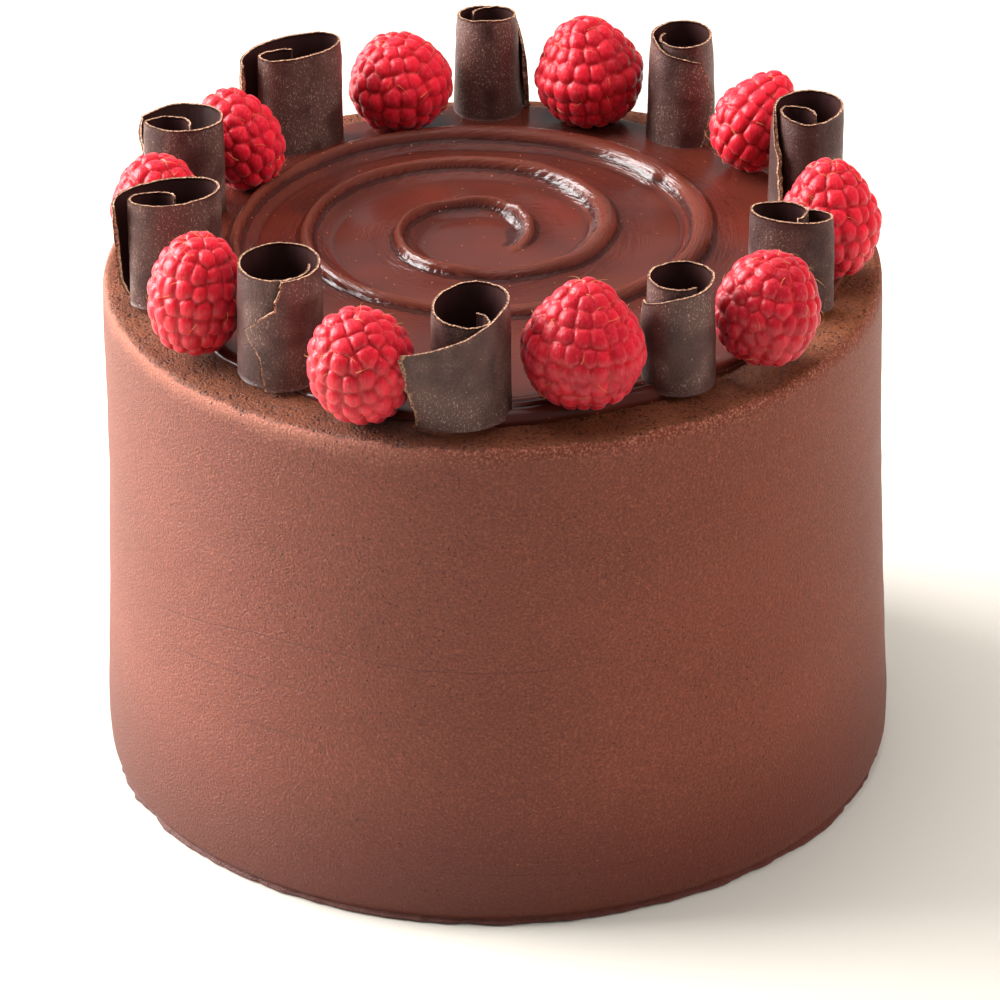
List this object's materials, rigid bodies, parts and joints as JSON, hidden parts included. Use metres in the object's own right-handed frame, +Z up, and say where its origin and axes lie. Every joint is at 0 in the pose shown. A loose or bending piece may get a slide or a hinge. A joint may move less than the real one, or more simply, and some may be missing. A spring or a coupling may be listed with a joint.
{
  "type": "chocolate raspberry cake",
  "caption": "Tall round frosted chocolate cake with a glossy ganache swirl on top, ringed by raspberries and rolled chocolate curls.",
  "frame": {"origin": "centre of the cake's flat base", "axes": "+Z up, -Y towards the side that the picture shows, +X to the viewer's right"},
  "size_m": [0.1602, 0.1602, 0.1317],
  "materials": {
    "frosting": "satin",
    "ganache": "glossy",
    "raspberry": "satin",
    "dark_chocolate": "satin"
  },
  "bodies": {
    "root": {"cake_body": "frosting", "ganache": "ganache", "raspberry_1": "raspberry", "raspberry_2": "raspberry", "raspberry_3": "raspberry", "raspberry_4": "raspberry", "raspberry_5": "raspberry", "raspberry_6": "raspberry", "raspberry_7": "raspberry", "raspberry_8": "raspberry", "raspberry_9": "raspberry", "raspberry_10": "raspberry", "curl_1": "dark_chocolate", "curl_2": "dark_chocolate", "curl_3": "dark_chocolate", "curl_4": "dark_chocolate", "curl_5": "dark_chocolate", "curl_6": "dark_chocolate", "curl_7": "dark_chocolate", "curl_8": "dark_chocolate", "curl_9": "dark_chocolate", "curl_10": "dark_chocolate"}
  },
  "joints": []
}
